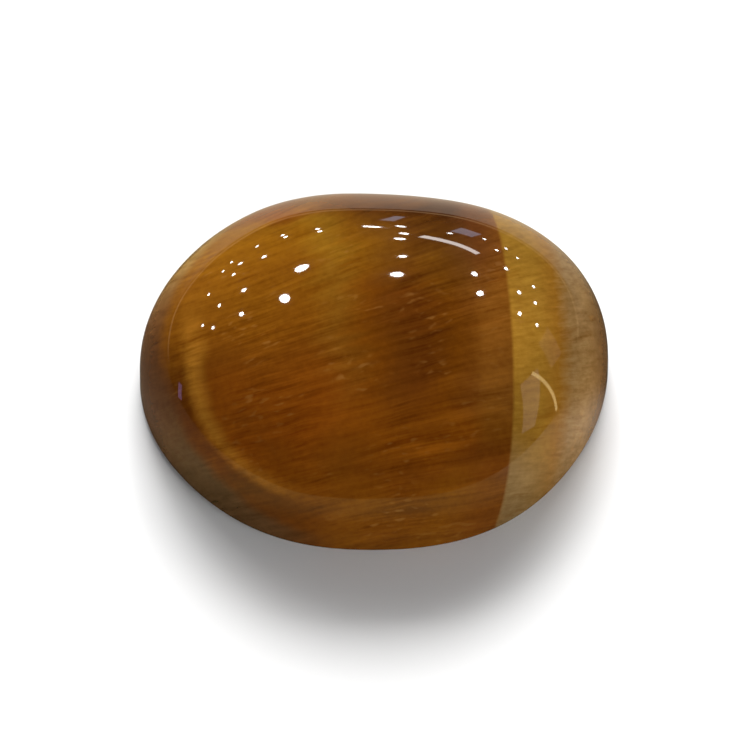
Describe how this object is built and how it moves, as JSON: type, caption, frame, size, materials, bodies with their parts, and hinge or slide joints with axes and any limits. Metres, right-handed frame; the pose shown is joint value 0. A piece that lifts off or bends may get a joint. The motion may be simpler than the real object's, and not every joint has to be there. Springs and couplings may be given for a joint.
{
  "type": "polished oval tiger's eye cabochon",
  "caption": "Polished oval cabochon of banded tiger's eye quartz: a high glossy dome on a short side wall, with a flat ground back and a narrow bevel round its foot.",
  "frame": {"origin": "middle of the flat back, on the surface the stone rests on", "axes": "+X along the oval's length, +Y across it, +Z out of the domed face"},
  "size_m": [0.014, 0.012, 0.0047],
  "materials": {
    "tigers_eye": "polished golden brown tiger's eye quartz in bands"
  },
  "bodies": {
    "root": {"tigers_eye_cabochon": "tigers_eye"}
  },
  "joints": []
}
